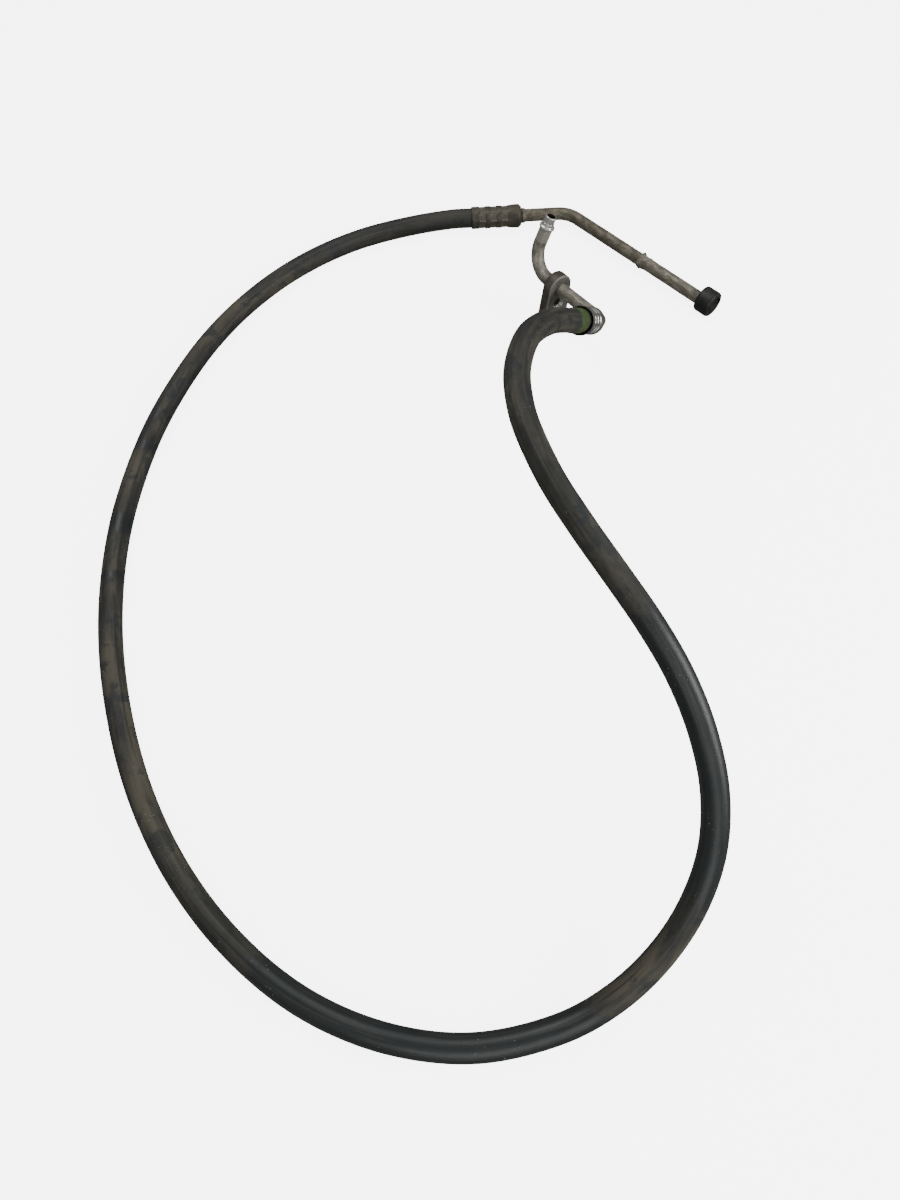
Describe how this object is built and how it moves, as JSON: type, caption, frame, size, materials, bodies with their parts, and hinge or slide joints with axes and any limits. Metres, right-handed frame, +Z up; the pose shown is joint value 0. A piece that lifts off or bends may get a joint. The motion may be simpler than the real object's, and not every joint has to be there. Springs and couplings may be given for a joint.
{
  "type": "air conditioning hose",
  "caption": "Long rubber air conditioning hose with crimped ferrules, bent aluminium pipes, a bolted flange plate and a capped end.",
  "frame": {"origin": "middle of the foot of the whole part's box, on the floor it lies on", "axes": "+Z up from the floor, +Y along the loop's long way towards the pipes, +X towards the end cap"},
  "size_m": [0.6962, 1.0162, 0.2563],
  "materials": {
    "hose_rubber": "dusty matt charcoal rubber",
    "ferrule_aluminium": "dull grimy cast and pressed aluminium",
    "pipe_aluminium": "mottled oxidised aluminium",
    "machined_aluminium": "bright turned aluminium",
    "cap_plastic": "matt black moulded plastic",
    "marker_plastic": "faded green sleeve"
  },
  "bodies": {
    "root": {"hose": "hose_rubber", "ferrule_a": "ferrule_aluminium", "pipe_a": "pipe_aluminium", "pipe_a_tail": "pipe_aluminium", "end_cap": "cap_plastic", "ferrule_b": "ferrule_aluminium", "marker_sleeve": "marker_plastic", "pipe_b": "pipe_aluminium", "flange_plate": "ferrule_aluminium", "end_fitting": "machined_aluminium"}
  },
  "joints": []
}
